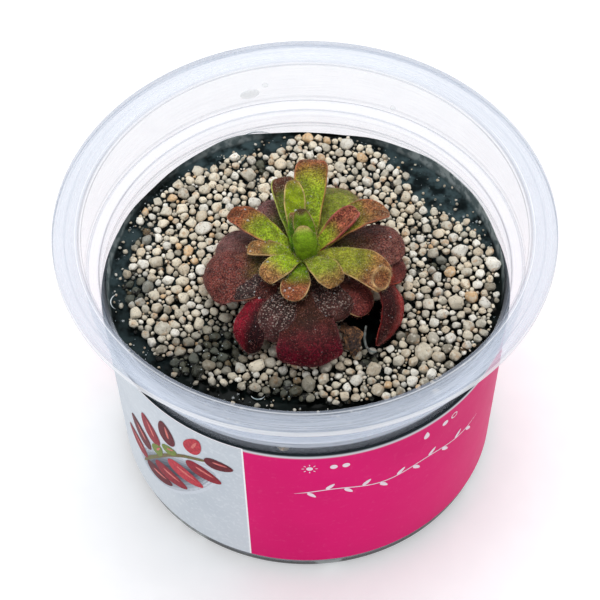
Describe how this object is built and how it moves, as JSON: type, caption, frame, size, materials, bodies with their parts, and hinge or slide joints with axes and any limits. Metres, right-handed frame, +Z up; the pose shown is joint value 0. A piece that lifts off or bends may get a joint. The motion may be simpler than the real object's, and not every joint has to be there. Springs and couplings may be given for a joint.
{
  "type": "butterwort plant in a culture cup",
  "caption": "Butterwort rosette rooted in dark gel under a layer of pumice grains, in a clear flanged culture cup with a wrap-around printed label.",
  "frame": {"origin": "centre of the cup's foot ring, on the surface that it stands on", "axes": "+Z up along the cup's axis, out of its mouth; -Y towards the front of the label, whose seam is at +Y"},
  "size_m": [0.1, 0.1, 0.066],
  "materials": {
    "clear_plastic": "thin clear injection-moulded plastic, glossy, faintly milky with a lilac tint",
    "label_print": "printed film wrap, magenta with a pale grey panel, satin gloss",
    "black_gel": "wet glossy black culture gel",
    "pumice": "damp pale beige and grey porous grains",
    "burgundy_leaf": "velvety wine-red glandular leaf, pale rims",
    "green_leaf": "fleshy green leaf with red-brown stippled tip",
    "withered_leaf": "dry brown shrivelled leaf"
  },
  "bodies": {
    "root": {"cup": "clear_plastic", "label": "label_print", "growth_gel": "black_gel", "pumice_granules": "pumice", "rosette_skirt": "burgundy_leaf", "rosette_heart": "green_leaf", "withered_leaf": "withered_leaf"}
  },
  "joints": []
}
